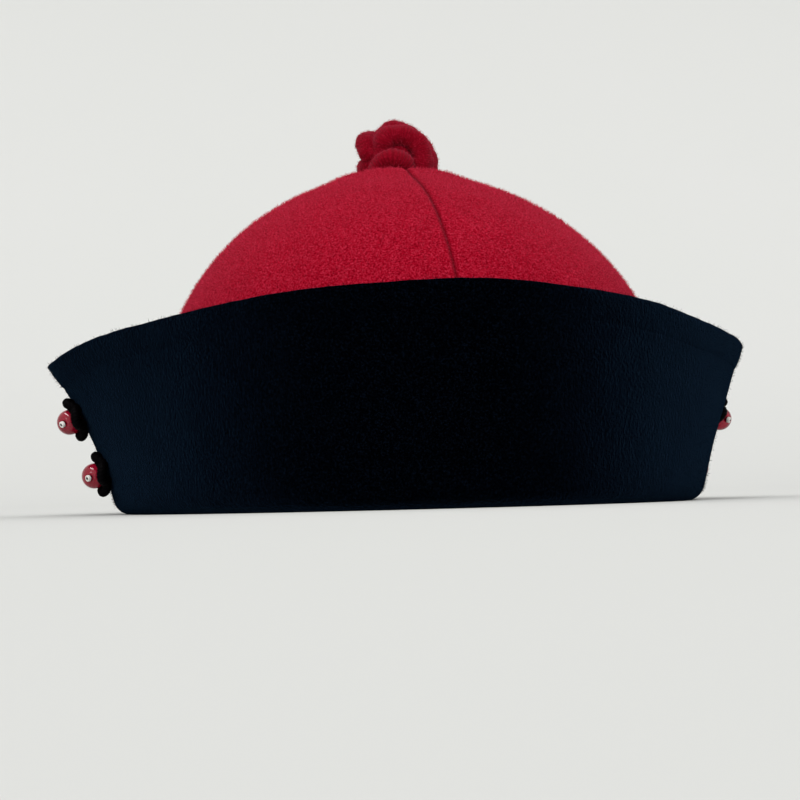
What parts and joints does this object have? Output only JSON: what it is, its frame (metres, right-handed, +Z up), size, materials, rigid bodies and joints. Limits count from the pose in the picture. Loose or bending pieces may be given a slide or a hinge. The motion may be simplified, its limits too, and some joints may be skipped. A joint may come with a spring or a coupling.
{
  "type": "upturned-brim hat",
  "caption": "Felt hat with a domed crown and a brim turned fully up as a tall flared cuff; worn on the head, and rests on the brim's rolled foot.",
  "frame": {"origin": "middle of the hat's bounding box, on the floor it rests on", "axes": "+Z up through the crown's apex, -Y out of the front, +X out of the wearer's left side"},
  "size_m": [0.228, 0.241, 0.1285],
  "materials": {
    "red_felt": "crimson wool felt with a short nap",
    "black_felt": "black wool felt with a short nap",
    "taupe_ribbon": "taupe ribbed ribbon, worn",
    "red_knit": "red ribbed knit",
    "black_cord": "black twisted cord",
    "red_glass": "polished deep red glass",
    "white_glass": "polished white glass"
  },
  "bodies": {
    "root": {"brim": "black_felt", "sweatband": "taupe_ribbon", "top_knot": "red_knit", "crown_front_left": "red_felt", "crown_back_left": "red_felt", "crown_back_right": "red_felt", "crown_front_right": "red_felt", "ornament_right_upper": "black_cord", "bead_right_upper": "red_glass", "stopper_right_upper": "white_glass", "ornament_right_lower": "black_cord", "bead_right_lower": "red_glass", "stopper_right_lower": "white_glass", "ornament_left_upper": "black_cord", "bead_left_upper": "red_glass", "stopper_left_upper": "white_glass", "ornament_left_lower": "black_cord", "bead_left_lower": "red_glass", "stopper_left_lower": "white_glass"}
  },
  "joints": []
}
